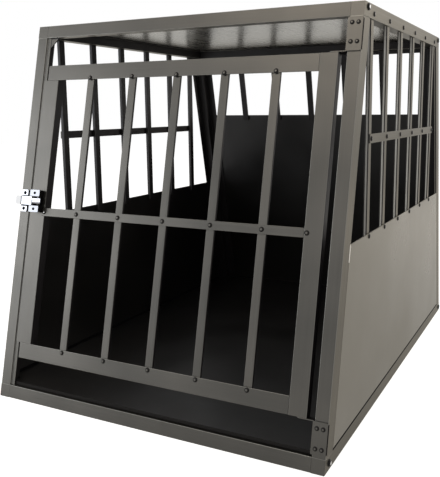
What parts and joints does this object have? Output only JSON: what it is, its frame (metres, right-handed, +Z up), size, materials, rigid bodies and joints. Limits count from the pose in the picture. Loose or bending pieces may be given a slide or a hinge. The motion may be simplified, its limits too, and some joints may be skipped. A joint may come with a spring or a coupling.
{
  "type": "car dog crate",
  "caption": "Car dog crate with slanted front and rear, aluminium frame, board lower walls, upper bars, flat roof and a hinged barred front door with a spring latch",
  "frame": {"origin": "middle of the footprint on the surface that the crate stands on", "axes": "+Z up; the front with the door faces -Y; +X is the hinge side, on the right seen from the front; depth runs along Y"},
  "size_m": [0.656, 0.91, 0.695],
  "materials": {
    "frame_aluminium": "satin warm grey anodised extrusion with fine lines along its length",
    "wall_board": "satin warm grey coated sheet",
    "dark_board": "near-black film-faced board with a slight gloss",
    "roof_sheet": "satin sheet with soft reflections",
    "latch_chrome": "bright chrome plating on cast zinc",
    "black_plastic": "matt black moulded nylon",
    "spring_steel": "drawn steel wire"
  },
  "bodies": {
    "frame": {"front_bottom_rail": "frame_aluminium", "rear_bottom_rail": "frame_aluminium", "front_top_rail": "frame_aluminium", "rear_top_rail": "frame_aluminium", "bottom_rail_left": "frame_aluminium", "bottom_rail_right": "frame_aluminium", "top_rail_left": "frame_aluminium", "top_rail_right": "frame_aluminium", "front_left_post": "frame_aluminium", "front_right_post": "frame_aluminium", "rear_left_post": "frame_aluminium", "rear_right_post": "frame_aluminium", "floor_panel": "dark_board", "roof_panel": "roof_sheet", "left_wall_panel": "wall_board", "right_wall_panel": "wall_board", "rear_wall_panel": "wall_board", "mid_rail_left": "frame_aluminium", "mid_rail_right": "frame_aluminium", "left_bar_1": "frame_aluminium", "left_bar_2": "frame_aluminium", "left_bar_3": "frame_aluminium", "left_bar_4": "frame_aluminium", "left_bar_5": "frame_aluminium", "left_bar_6": "frame_aluminium", "right_bar_1": "frame_aluminium", "right_bar_2": "frame_aluminium", "right_bar_3": "frame_aluminium", "right_bar_4": "frame_aluminium", "right_bar_5": "frame_aluminium", "right_bar_6": "frame_aluminium", "rear_bar_1": "frame_aluminium", "rear_bar_2": "frame_aluminium", "rear_bar_3": "frame_aluminium", "rear_bar_4": "frame_aluminium", "rear_bar_5": "frame_aluminium", "corner_gusset": "frame_aluminium", "upper_hinge_bracket": "frame_aluminium", "lower_hinge_bracket": "frame_aluminium", "upper_hinge_pin": "frame_aluminium", "lower_hinge_pin": "frame_aluminium", "latch_keeper": "latch_chrome"},
    "door": {"door_left_stile": "frame_aluminium", "door_right_stile": "frame_aluminium", "door_top_rail": "frame_aluminium", "door_bottom_rail": "frame_aluminium", "door_mid_rail": "frame_aluminium", "door_bar_1": "frame_aluminium", "door_bar_2": "frame_aluminium", "door_bar_3": "frame_aluminium", "door_bar_4": "frame_aluminium", "door_bar_5": "frame_aluminium", "upper_hinge_bush": "black_plastic", "lower_hinge_bush": "black_plastic", "latch_body": "latch_chrome", "latch_pin": "latch_chrome", "latch_spring": "spring_steel"},
    "lever": {"latch_lever": "latch_chrome"}
  },
  "joints": [
    {"name": "door_hinge", "type": "hinge", "parent": "frame", "child": "door", "pos_m": [0.279, -0.36679, 0.34526], "axis": [0, 0.2243, 0.9745], "range_deg": [0, 120]},
    {"name": "latch_lever_pivot", "type": "hinge", "parent": "door", "child": "lever", "pos_m": [-0.2745, -0.379, 0.36577], "axis": [0, 0.2243, 0.9745], "range_deg": [0, 40], "stiffness_Nm_per_rad": 0.1, "springref_deg": -11.46}
  ]
}
